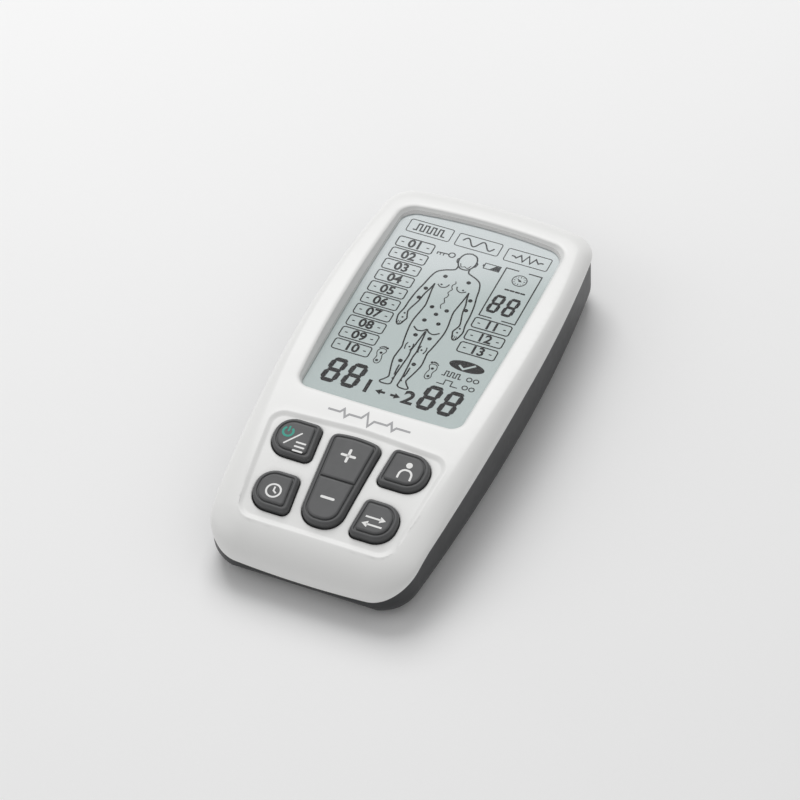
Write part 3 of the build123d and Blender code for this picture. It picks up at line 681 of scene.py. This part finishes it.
# ---- display art ----------------------------------------------------
ART_X = 0.1          # the art's middle line
FIGURE = {           # right half of a plain standing figure seen from behind: x, y pairs
    "head": [(0, 25.6), (1.5, 25.0), (2.3, 23.6), (2.4, 21.9), (1.9, 20.4), (1.0, 19.4), (0, 19.2)],
    "ear": [(2.4, 22.9), (2.85, 22.5), (2.7, 21.4), (2.2, 21.0)],
    "arm outside": [(1.7, 19.9), (1.75, 18.9), (2.3, 18.2), (4.6, 17.2), (6.2, 15.9), (7.0, 13.6),
                    (7.5, 10.6), (8.2, 7.2), (8.6, 3.4), (8.7, 0.4), (8.9, -1.0)],
    "arm inside": [(4.9, 11.6), (5.3, 9.4), (5.9, 7.0), (6.3, 4.0), (7.2, 0.6), (7.4, -0.7)],
    "hand": [(7.4, -0.7), (7.0, -2.0), (6.6, -3.2), (6.9, -4.3), (7.3, -5.6), (8.0, -6.1),
             (8.6, -5.4), (9.0, -4.0), (9.2, -2.6), (8.9, -1.0)],
    "side": [(4.9, 11.6), (4.7, 9.0), (4.3, 6.0), (4.0, 3.2), (4.3, 0.6), (4.7, -2.2),
             (4.8, -5.0), (4.4, -8.4), (3.9, -11.6), (3.6, -13.2), (3.8, -15.6), (3.9, -18.0),
             (3.3, -21.0), (2.6, -23.6), (2.5, -24.6), (3.3, -25.8), (4.0, -26.7), (3.3, -27.2),
             (1.6, -27.1), (0.9, -26.6)],
    "leg inside": [(0.1, -5.9), (0.35, -8.6), (0.6, -11.6), (0.8, -13.6), (0.6, -15.8),
                   (0.75, -18.6), (0.9, -21.4), (1.0, -24.0), (0.9, -26.6)],
    "shoulder blade": [(1.1, 12.6), (1.6, 11.4), (2.9, 10.9), (4.1, 11.7)],
    "seat": [(0, -4.9), (0.9, -5.9), (2.3, -6.2), (3.7, -5.2)],
    "knee outside": [(2.7, -11.2), (2.9, -12.4), (2.6, -13.8)],
    "knee inside": [(1.1, -11.2), (0.9, -12.6), (1.2, -13.8)],
    "calf": [(1.5, -19.6), (1.5, -21.6), (1.3, -23.4)],
}
PADS = [(3.35, 15.1), (6.4, 9.0), (6.75, 5.2), (2.1, 3.2), (2.0, -2.1), (2.0, -8.0), (1.9, -18.1)]
FINE_LINES = ("shoulder blade", "ear", "knee outside", "knee inside")
SMALL_PADS = [(1.7, -12.6), (1.2, -24.7), (7.9, -1.6), (7.8, -3.2), (3.1, 11.9)]
SOLE = [(0.1, -3.1), (-0.75, -2.5), (-0.8, -1.0), (-0.5, 0.3), (-1.0, 1.5), (-0.8, 2.3),
        (0.2, 2.5), (1.0, 2.0), (1.2, 0.8), (0.7, -0.6), (0.9, -2.2)]
TOES = [(-0.85, 2.95, 0.36), (-0.25, 3.2, 0.3), (0.25, 3.15, 0.27), (0.7, 2.95, 0.24), (1.08, 2.6, 0.22)]


def draw_figure(art):
    for side in (-1, 1):
        flip = lambda points: [(ART_X + side * x, y) for x, y in points]
        for name, points in FIGURE.items():
            art.curve(flip(points), 0.32 if name in FINE_LINES else 0.42)
        for x, y in PADS:
            art.disc(ART_X + side * x, y, 0.62)
        for x, y in SMALL_PADS:
            art.disc(ART_X + side * x, y, 0.3, 14)
        for k in range(3):
            art.bar((ART_X + side * (7.3 + 0.5 * k), -4.6), (ART_X + side * (7.35 + 0.45 * k), -5.9), 0.2)
        art.curve([(ART_X + side * 1.5, 21.2), (ART_X + side * 0.9, 20.0), (ART_X, 20.4)], 0.24)
    art.disc(ART_X, 1.0, 0.62)
    spine = [(0.3 * math.sin(k * 1.9), 14.3 - 0.78 * k) for k in range(15)]
    art.curve([(ART_X + x, y) for x, y in spine], 0.26)
    art.line([(ART_X, -4.9), (ART_X, -5.9)], 0.3)


def draw_sole(art, x, y, side):
    art.curve([(x + side * px, y + py) for px, py in SOLE], 0.24, closed=True)
    for px, py, radius in TOES:
        art.disc(x + side * px, y + py, radius, 12)
    art.disc(x + side * 0.1, y + 0.9, 0.42, 14)
    art.disc(x + side * 0.1, y - 2.0, 0.42, 14)


def pulse_wave(x, y, width, height, count):
    """Points of a square pulse train, centred on x, y."""
    step = width / (count * 2 + 1)
    left, low, high = x - width / 2, y - height / 2, y + height / 2
    points = [(left, low)]
    for k in range(count):
        start = left + step * (2 * k + 1)
        points += [(start, low), (start, high), (start + step, high), (start + step, low)]
    return points + [(left + width, low)]


def draw_modes(art):
    """Three mode boxes, each with the shape of its current: pulses, a swell and a burst."""
    tops = (32.3, 32.0, 31.5)
    for k, (left, top) in enumerate(zip((-20.3, -6.0, 8.4), tops)):
        art.box(left, top - 4.8, left + 12.5, top, 0.6, 0.26)
        x, y = left + 6.25, top - 2.4
        if k == 0:
            art.line(pulse_wave(x, y, 9.2, 2.5, 4), 0.42)
        elif k == 1:
            wave = [(x - 4.6 + 9.2 * i / 36, y + 1.3 * math.sin(i / 36 * 4 * math.pi)) for i in range(37)]
            art.line(wave, 0.42)
        else:
            burst = [(x - 4.6, y), (x - 3.8, y)]
            for i in range(7):
                reach = (0.5, 0.9, 1.3, 1.4, 1.3, 0.9, 0.5)[i] * (1 if i % 2 else -1)
                burst.append((x - 3.2 + 6.4 * i / 6, y + reach))
            art.line(burst + [(x + 3.8, y), (x + 4.6, y)], 0.42)


def draw_programmes(art):
    pitch = 4.63
    for k in range(10):
        top = 25.05 - pitch * k
        art.box(-20.7, top - 3.8, -10.3, top, 0.75, 0.34)
        art.figures(f"{k + 1:02d}", -15.5, top - 1.95, 4.1)
        for side in (-1, 1):
            art.bar((-15.5 + side * 3.4, top - 1.9), (-15.5 + side * 3.9, top - 1.9), 0.34)
    for k in range(3):
        top = 4.1 - 4.86 * k
        art.box(10.2, top - 3.75, 20.7, top, 0.75, 0.36)
        art.figures(str(11 + k), 15.45, top - 1.95, 4.1)
        for side in (-1, 1):
            art.bar((15.45 + side * 3.4, top - 1.9), (15.45 + side * 3.9, top - 1.9), 0.34)


def draw_timer(art):
    """Clock and two figures in a broken frame."""
    art.line([(14.2, 24.2), (10.6, 24.2), (10.6, 5.1), (14.2, 5.1)], 0.36)
    art.line([(17.0, 24.2), (20.8, 24.2), (20.8, 5.1), (17.0, 5.1)], 0.36)
    art.ring(15.7, 20.8, 2.0, 0.26)
    for k in range(12):
        a = math.radians(30 * k)
        reach = (1.35 if k % 3 else 1.1, 1.62)
        art.line([(15.7 + r * math.sin(a), 20.8 + r * math.cos(a)) for r in reach], 0.2)
    art.line([(14.9, 21.5), (15.7, 20.8), (16.3, 20.6)], 0.26)
    art.disc(15.7, 20.8, 0.36, 12)
    for k in range(4):
        art.bar((13.4 + 1.5 * k, 16.5), (14.3 + 1.5 * k, 16.5), 0.55)
    for x in (11.2, 15.4):
        art.digit(x, 6.9, 3.35, 7.2, 1.05)


def draw_key_sign(art):
    art.ring(-4.8, 23.2, 0.85, 0.34, 20)
    art.line([(-5.65, 23.2), (-9.0, 23.0)], 0.34)
    for x in (-8.8, -7.9, -7.0):
        art.line([(x, 23.1), (x, 22.2)], 0.3)


def draw_battery_sign(art):
    art.line([(4.8, 21.8), (9.2, 21.8), (9.2, 23.8), (4.8, 23.8)], 0.26, closed=True)
    art.line([(4.5, 22.4), (4.5, 23.2)], 0.3)
    art.solid([(6.6, 22.0), (9.05, 22.0), (9.05, 23.6), (7.9, 23.6)])


def draw_levels(art):
    """Two channel levels, each a pair of figures, with a double arrow between them."""
    for x in (-19.2, -13.5, 7.8, 13.6):
        art.digit(x, -32.3, 4.75, 9.3, 1.5)
    art.figures("1", -6.0, -29.9, 6.4)
    art.figures("2", 5.6, -29.9, 6.4)
    for side in (-1, 1):
        tip, root = 3.5 * side, 0.75 * side
        art.line([(root, -30.4), (tip - 1.0 * side, -30.4)], 0.75)
        head = [(tip, -30.4), (tip - 1.6 * side, -29.4), (tip - 1.6 * side, -31.4)]
        art.solid(head if side < 0 else head[::-1])


def draw_settings(art):
    """Oval set sign, then one row for the pulse rate and one for its width."""
    turns = np.linspace(0, 2 * math.pi, 49)[:-1]
    oval = [(15.2 + 4.9 * math.cos(a), -13.85 + 1.9 * math.sin(a)) for a in turns]
    tick = [(13.1, -13.9), (14.6, -15.0), (17.3, -12.7)]
    art.solid(oval)
    art.line(pulse_wave(12.8, -17.9, 5.4, 1.7, 3), 0.3)
    art.line(pulse_wave(12.9, -21.0, 5.8, 1.7, 1), 0.3)
    for y in (-17.9, -21.0):
        for k in range(2):
            art.ring(17.6 + 1.9 * k, y, 0.7, 0.3, 16)
    return tick


def display_art(materials):
    art = Print(DISPLAY, -0.31, -0.27)
    draw_figure(art)
    draw_sole(art, -7.5, -18.3, -1)
    draw_sole(art, 7.0, -18.6, 1)
    draw_modes(art)
    draw_programmes(art)
    draw_timer(art)
    draw_key_sign(art)
    draw_battery_sign(art)
    draw_levels(art)
    tick = draw_settings(art)
    art.build("lcd_segments", materials["segments"], "root", "lcd_glass")
    mark = Print(DISPLAY, -0.28, -0.25)
    mark.line(tick, 0.6)
    mark.build("lcd_tick", materials["lcd"], "root", "lcd_glass")


# ---- key signs ------------------------------------------------------
def key_signs(materials):
    white, teal = materials["legend"], materials["teal"]
    start = lambda: Print(KEYPAD, 1.27, 1.33)
    power = start()
    ring = circle(-17.6, 8.9, 1.35, 26, 125, 290)
    power.line(ring, 0.62)
    power.bar((-17.6, 9.1), (-17.6, 10.4), 0.5)
    power.build("power_sign", teal, "key_power", "key_rubber")
    mode = start()
    mode.bar((-17.3, 5.4), (-13.9, 9.4), 0.42)
    for k in range(3):
        mode.bar((-14.2, 4.1 + 1.25 * k), (-11.8, 4.1 + 1.25 * k), 0.5)
    mode.build("mode_sign", white, "key_power", "key_rubber")
    body = start()
    body.disc(15.9, 9.5, 0.85)
    shoulders = [(14.2, 5.2), (14.3, 6.9), (15.0, 7.8), (15.9, 8.0), (16.8, 7.8), (17.5, 6.9), (17.6, 5.2)]
    body.line(smooth(shoulders), 0.55)
    body.build("body_sign", white, "key_body", "key_rubber")
    timer = start()
    timer.ring(-13.9, -8.7, 1.9, 0.5)
    timer.line([(-13.9, -7.5), (-13.9, -8.7), (-13.0, -9.3)], 0.45)
    timer.build("timer_sign", white, "key_timer", "key_rubber")
    channel = start()
    for side in (-1, 1):
        y = -8.9 + side * 1.05
        channel.line([(13.9 - side * 2.6, y), (13.9 + side * 1.6, y)], 0.5)
        tip = 13.9 + side * 2.9
        head = [(tip, y), (tip - side * 1.6, y + 0.95), (tip - side * 1.6, y - 0.95)]
        channel.solid(head if side > 0 else head[::-1])
    channel.build("channel_sign", white, "key_channel", "key_rubber")
    level = start()
    level.bar((-1.75, 7.1), (1.75, 7.1), 0.72)
    level.bar((0, 5.35), (0, 8.85), 0.72)
    level.bar((-1.6, -6.2), (1.6, -6.2), 0.72)
    level.build("level_signs", white, "key_level", "key_rubber")


def face_print(material):
    """A plain pulse trace printed between the display and the keys."""
    mark = Print(tangent_plane(-21.2), -0.01, 0.03)
    points = [(-11.5, 0), (-8.2, 0), (-7.4, 1.2), (-6.4, -1.2), (-5.6, 0), (-2.2, 0), (-1.1, 2.0),
              (0.3, -2.0), (1.4, 0), (5.0, 0), (5.8, 1.2), (6.8, -1.2), (7.6, 0), (11.5, 0)]
    mark.line(points, 0.62)
    mark.build("face_mark", material, "root", "white_shell")


# ---- springs in the battery bay -------------------------------------
def contact_springs(material):
    """Three wire coils at the lower ends of the cells, in place of the CAD's plain sleeves."""
    wire, radius, turns, steps = 0.32, 3.05, 4, 24
    span = SPRING_ENDS[1] - SPRING_ENDS[0] - 2 * wire
    section = circle(0, 0, wire, 10)
    coils = Builder()
    for x in (-CELL_PITCH, 0.0, CELL_PITCH):
        rings = []
        for k in range(turns * steps + 1):
            angle = 2 * math.pi * k / steps
            along = SPRING_ENDS[0] + wire + span * k / (turns * steps)
            spread = radius + section[:, 0]
            rings.append(np.column_stack([
                x + spread * math.cos(angle), along + section[:, 1], CELL_Z + spread * math.sin(angle),
            ]))
        coils.cap(rings[0], flip=True)
        coils.band(rings)
        coils.cap(rings[-1])
    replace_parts(coils.build("coil_springs", material, "root", "contact_metal"), "contact_springs")


# ---- materials ------------------------------------------------------
class Finish:
    """A procedural material: a base colour that varies a little, with grain in gloss and surface."""

    def __init__(self, name, colour, rough, metallic=0.0):
        self.material = bpy.data.materials.new(name)
        self.material.use_nodes = True
        self.nodes = self.material.node_tree.nodes
        self.links = self.material.node_tree.links
        self.shader = self.nodes["Principled BSDF"]
        self.shader.inputs["Metallic"].default_value = metallic
        self.where = self.nodes.new("ShaderNodeTexCoord").outputs["Object"]
        self.colour, self.rough = colour, rough

    def noise(self, scale, detail=2.0):
        node = self.nodes.new("ShaderNodeTexNoise")
        node.inputs["Scale"].default_value = scale
        node.inputs["Detail"].default_value = detail
        self.links.new(self.where, node.inputs["Vector"])
        return node.outputs["Fac"]

    def ramp(self, source, stops):
        node = self.nodes.new("ShaderNodeValToRGB")
        ramp = node.color_ramp
        ramp.elements[0].position, ramp.elements[0].color = stops[0][0], (*stops[0][1], 1)
        ramp.elements[1].position, ramp.elements[1].color = stops[1][0], (*stops[1][1], 1)
        for place, colour in stops[2:]:
            ramp.elements.new(place).color = (*colour, 1)
        self.links.new(source, node.inputs["Fac"])
        return node.outputs["Color"]

    def spread(self, source, low, high):
        node = self.nodes.new("ShaderNodeMapRange")
        node.inputs["To Min"].default_value = low
        node.inputs["To Max"].default_value = high
        self.links.new(source, node.inputs["Value"])
        return node.outputs["Result"]

    def along(self, weights, low, high):
        """0 to 1 as the weighted sum of x, y and z (in mm) goes from low to high."""
        node = self.nodes.new("ShaderNodeVectorMath")
        node.operation = "DOT_PRODUCT"
        node.inputs[1].default_value = [w / MM for w in weights]
        self.links.new(self.where, node.inputs[0])
        span = self.nodes.new("ShaderNodeMapRange")
        span.interpolation_type = "SMOOTHSTEP"
        span.inputs["From Min"].default_value = low
        span.inputs["From Max"].default_value = high
        self.links.new(node.outputs["Value"], span.inputs["Value"])
        return span.outputs["Result"]

    def paint(self, variation=0.04, scale=60.0):
        """Base colour that drifts by a share of itself."""
        dark = [c * (1 - variation) for c in self.colour]
        light = [min(c * (1 + variation), 1) for c in self.colour]
        out = self.ramp(self.noise(scale), [(0.35, dark), (0.65, light)])
        self.links.new(out, self.shader.inputs["Base Color"])
        return self

    def gloss(self, variation=0.05, scale=300.0):
        out = self.spread(self.noise(scale), self.rough - variation, self.rough + variation)
        self.links.new(out, self.shader.inputs["Roughness"])
        return self

    def grain(self, height, scale, detail=2.0):
        """Fine surface bump; height in millimetres."""
        bump = self.nodes.new("ShaderNodeBump")
        bump.inputs["Distance"].default_value = height * MM
        self.links.new(self.noise(scale, detail), bump.inputs["Height"])
        self.links.new(bump.outputs["Normal"], self.shader.inputs["Normal"])
        return self

    def set(self, **values):
        for name, value in values.items():
            self.shader.inputs[name.replace("_", " ")].default_value = value
        return self


def simple(name, colour, rough, metallic=0.0, variation=0.05, grain=0.01, scale=2500.0):
    return Finish(name, colour, rough, metallic).paint(variation).gloss().grain(grain, scale).material


def make_materials():
    m = {}
    shell = Finish("white_abs", (0.83, 0.83, 0.82), 0.36).paint(0.006, 25).gloss(0.03, 200).grain(0.004, 1800)
    m["white"] = shell.material
    grey = Finish("dark_grey_abs", (0.026, 0.027, 0.029), 0.42)
    m["grey"] = grey.paint(0.06, 40).gloss(0.05, 400).grain(0.012, 2600).material
    rubber = Finish("key_silicone", (0.094, 0.095, 0.097), 0.55)
    m["rubber"] = rubber.paint(0.05, 120).gloss(0.05, 600).grain(0.015, 3200).material
    m["mat"] = simple("mat_silicone", (0.2, 0.2, 0.21), 0.6)
    legend = Finish("legend_ink", (0.86, 0.86, 0.85), 0.5)
    m["legend"] = legend.paint(0.03, 900).gloss(0.06, 900).grain(0.004, 4000).material
    teal = Finish("teal_ink", (0.012, 0.33, 0.25), 0.5)
    m["teal"] = teal.paint(0.06, 900).gloss(0.06, 900).grain(0.004, 4000).material
    mark = Finish("grey_ink", (0.36, 0.36, 0.37), 0.5)
    m["mark"] = mark.paint(0.04, 900).gloss(0.05, 900).grain(0.004, 4000).material
    lcd = Finish("lcd_reflector_painted_glare", (0.5, 0.56, 0.54), 0.5)
    # the base colour grows lighter towards the upper left: a painted reflection of a softbox on the window,
    # over the display's own grey-green
    across = lcd.along((-0.45, 1, 0), 24, 46)
    base = lcd.ramp(across, [(0.0, (0.64, 0.74, 0.73)), (1.0, (0.9, 0.97, 0.98))])
    lcd.links.new(base, lcd.shader.inputs["Base Color"])
    lcd.gloss(0.04, 2000).grain(0.003, 5000)
    m["lcd"] = lcd.material
    seg = Finish("lcd_segment", (0.01, 0.01, 0.01), 0.5)
    # the segments go from near black to grey towards the upper left: painted reflection, the same glare that
    # is painted on the display behind them
    painted_glare_fade = seg.along((-0.45, 1, 0), 14, 46)
    tone = seg.ramp(painted_glare_fade, [(0.0, (0.004, 0.0042, 0.0045)), (1.0, (0.09, 0.094, 0.098)),
                           (0.45, (0.008, 0.0083, 0.0088))])
    seg.links.new(tone, seg.shader.inputs["Base Color"])
    seg.gloss(0.04, 2000).set(Specular_IOR_Level=0.1)
    m["segments"] = seg.material
    m["window"] = clear_material()
    m["board"] = board_material()
    m["foam"] = simple("black_foam", (0.02, 0.02, 0.02), 0.9, grain=0.08, scale=3000)
    m["natural"] = simple("natural_plastic", (0.7, 0.7, 0.66), 0.5)
    m["strip"] = simple("silicone_strip", (0.35, 0.2, 0.16), 0.6)
    m["steel"] = simple("zinc_steel", (0.62, 0.62, 0.64), 0.32, 1.0, grain=0.01, scale=1500)
    m["flex"] = simple("polyimide", (0.6, 0.3, 0.05), 0.35)
    m["chip"] = simple("epoxy", (0.02, 0.02, 0.02), 0.5)
    m["ferrite"] = simple("ferrite", (0.06, 0.06, 0.065), 0.6, grain=0.05, scale=1200)
    m["can"] = simple("capacitor_sleeve", (0.05, 0.06, 0.2), 0.35)
    m["nickel"] = simple("nickel", (0.72, 0.7, 0.66), 0.25, 1.0)
    m["cell"] = cell_material()
    m["socket"] = simple("socket_plastic", (0.025, 0.025, 0.027), 0.45)
    return m


def clear_material():
    """Clear hard-coated window: sees straight through, with a satin reflection on top."""
    finish = Finish("clear_window", (0, 0, 0), 0.14)
    finish.gloss(0.02, 1500)
    clear = finish.nodes.new("ShaderNodeBsdfTransparent")
    mix = finish.nodes.new("ShaderNodeMixShader")
    mix.inputs["Fac"].default_value = 0.1
    finish.shader.inputs["Base Color"].default_value = (0.02, 0.02, 0.02, 1)
    finish.links.new(clear.outputs["BSDF"], mix.inputs[1])
    finish.links.new(finish.shader.outputs["BSDF"], mix.inputs[2])
    finish.links.new(mix.outputs["Shader"], finish.nodes["Material Output"].inputs["Surface"])
    return finish.material


def board_material():
    """Green solder mask over lighter copper tracks."""
    finish = Finish("circuit_board", (0.02, 0.16, 0.07), 0.35)
    cells = finish.nodes.new("ShaderNodeTexVoronoi")
    cells.distance = "MANHATTAN"
    cells.feature = "F2"
    cells.inputs["Scale"].default_value = 420
    finish.links.new(finish.where, cells.inputs["Vector"])
    tracks = finish.ramp(cells.outputs["Distance"], [(0.5, (0.015, 0.13, 0.055)), (0.56, (0.04, 0.26, 0.1))])
    finish.links.new(tracks, finish.shader.inputs["Base Color"])
    return finish.gloss(0.05, 900).grain(0.02, 900).material


def cell_material():
    """Sleeved cell: copper tone at one end, dark beyond it, fading to bare metal at the other."""
    finish = Finish("cell_sleeve", (0.1, 0.11, 0.13), 0.3)
    place = finish.along((0, 1, 0), 5, 50.5)
    place.node.interpolation_type = "LINEAR"
    bare, sleeve, copper = (0.6, 0.6, 0.6), (0.05, 0.055, 0.065), (0.5, 0.26, 0.1)
    bands = finish.ramp(place, [(0.0, bare), (1.0, bare), (0.03, sleeve),
                                (0.3, copper), (0.33, sleeve), (0.97, bare)])
    finish.links.new(bands, finish.shader.inputs["Base Color"])
    return finish.gloss(0.04, 700).grain(0.006, 1500).material


NODE_MATERIALS = {
    "white": ["front_housing"], "grey": ["rear_housing", "battery_door"], "window": ["display_window"],
    "foam": ["lcd_gasket"], "lcd": ["lcd_panel"], "natural": ["lcd_carrier"], "strip": ["zebra_strip"],
    "board": ["main_board", "key_board"], "steel": ["board_screws", "case_screws"], "mat": ["keypad_mat"],
    "rubber": ["key_power", "key_body", "key_timer", "key_channel", "key_level"], "flex": ["board_link"],
    "chip": ["microcontroller", "buzzer"], "ferrite": ["pulse_transformer_left", "pulse_transformer_right"],
    "can": ["capacitors"], "nickel": ["contact_plates", "socket_contact_left", "socket_contact_right"],
    "cell": ["battery_1", "battery_2", "battery_3"], "socket": ["output_socket_left", "output_socket_right"],
}


def dress_nodes(materials):
    for name, nodes in NODE_MATERIALS.items():
        for node in nodes:
            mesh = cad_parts[node].data
            mesh.materials.clear()
            mesh.materials.append(materials[name])


# ---- studio ---------------------------------------------------------
def area_light(name, place, size, power, colour=(1, 1, 1), size_y=None):
    data = bpy.data.lights.new(name, "AREA")
    data.energy = power
    data.color = colour
    data.size = size
    if size_y:
        data.shape = "RECTANGLE"
        data.size_y = size_y
    light = bpy.data.objects.new(name, data)
    bpy.context.scene.collection.objects.link(light)
    light.location = place
    light.rotation_euler = (TARGET - Vector(place)).to_track_quat("-Z", "Y").to_euler()


def studio():
    world = bpy.data.worlds.new("studio")
    world.use_nodes = True
    world.node_tree.nodes["Background"].inputs["Color"].default_value = (1, 1, 1, 1)
    world.node_tree.nodes["Background"].inputs["Strength"].default_value = 0.46
    bpy.context.scene.world = world
    area_light("key_light", (-0.35, 0.6, 0.9), 0.7, 7.0)
    area_light("fill_light", (-0.9, -0.5, 0.6), 0.7, 1.4)
    floor = bpy.data.meshes.new("floor")
    floor.from_pydata([(-6, -6, 0), (6, -6, 0), (6, 6, 0), (-6, 6, 0)], [], [[0, 1, 2, 3]])
    paper = Finish("floor_paper", (0.92, 0.92, 0.92), 0.8)
    floor.materials.append(paper.paint(0.01, 3).gloss(0.05, 20).grain(0.02, 900).material)
    stage = bpy.data.objects.new("floor", floor)
    bpy.context.scene.collection.objects.link(stage)
    bpy.context.scene.view_settings.view_transform = "Standard"


make_camera()
MATERIALS = make_materials()
dress_nodes(MATERIALS)
front_housing(MATERIALS["white"])
for key, node in (("power", "key_power"), ("body", "key_body"), ("timer", "key_timer"),
                  ("channel", "key_channel"), ("level", "key_level")):
    key_piece(key, MATERIALS["rubber"], node, node)
clear_window(MATERIALS["window"])
contact_springs(MATERIALS["nickel"])
key_signs(MATERIALS)
face_print(MATERIALS["mark"])
display_art(MATERIALS)
studio()
